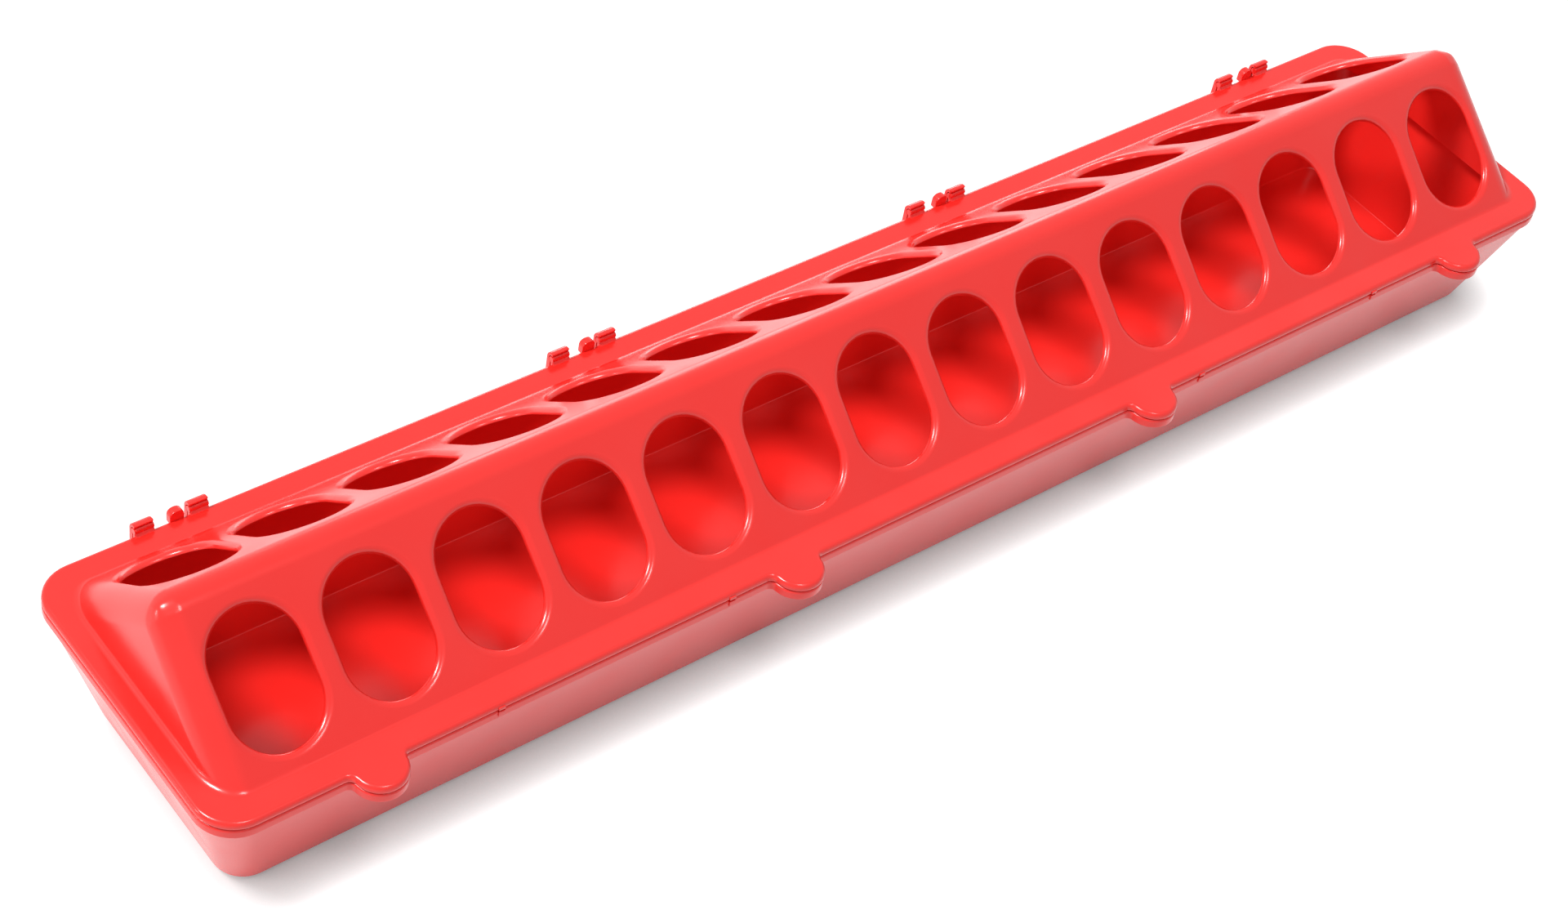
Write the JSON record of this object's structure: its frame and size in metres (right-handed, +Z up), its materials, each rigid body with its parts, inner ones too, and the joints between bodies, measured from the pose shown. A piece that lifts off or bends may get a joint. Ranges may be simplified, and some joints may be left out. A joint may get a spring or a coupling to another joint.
{
  "type": "flip-top poultry feeder",
  "caption": "Long trough feeder for poultry with a hinged roof-shaped lid, pierced by two rows of racetrack feeding holes, snap hinges at the back and finger tabs in front.",
  "frame": {"origin": "middle of the trough's flat underside", "axes": "+X along the feeder, -Y to the front with the finger tabs, +Y to the hinges, +Z up"},
  "size_m": [0.508, 0.111, 0.0786],
  "materials": {
    "red_plastic": "smooth injection-moulded gloss"
  },
  "bodies": {
    "trough": {"trough": "red_plastic"},
    "lid": {"lid": "red_plastic"}
  },
  "joints": [
    {"name": "lid_hinge", "type": "hinge", "parent": "trough", "child": "lid", "pos_m": [0, 0.05, 0.0462], "axis": [-1, 0, 0], "range_deg": [0, 110]}
  ]
}
